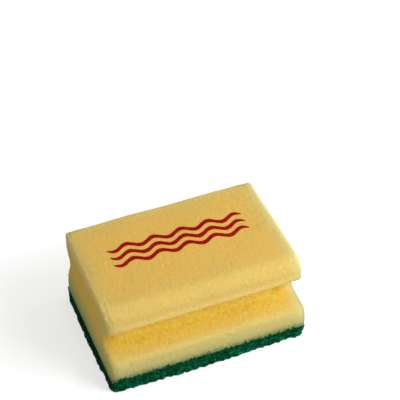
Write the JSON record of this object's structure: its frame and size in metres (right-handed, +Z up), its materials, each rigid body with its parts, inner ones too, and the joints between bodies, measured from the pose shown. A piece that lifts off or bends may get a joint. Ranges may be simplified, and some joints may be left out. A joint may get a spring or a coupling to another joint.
{
  "type": "cleaning sponge",
  "caption": "Foam cleaning sponge with finger grooves along both long sides and a scouring pad bonded under its base.",
  "frame": {"origin": "middle of the underside of the scouring pad", "axes": "+X along the sponge's length, +Z up from the scouring pad to the flat top, -Y out of the side with the deep finger groove"},
  "size_m": [0.095, 0.07, 0.045],
  "materials": {
    "foam": "open-cell polyurethane foam, warm yellow, fine pores, knife-cut faces",
    "scouring_web": "nonwoven nylon scouring web with abrasive binder, dark green, curly fibres"
  },
  "bodies": {
    "root": {"foam_body": "foam", "scouring_pad": "scouring_web"}
  },
  "joints": []
}
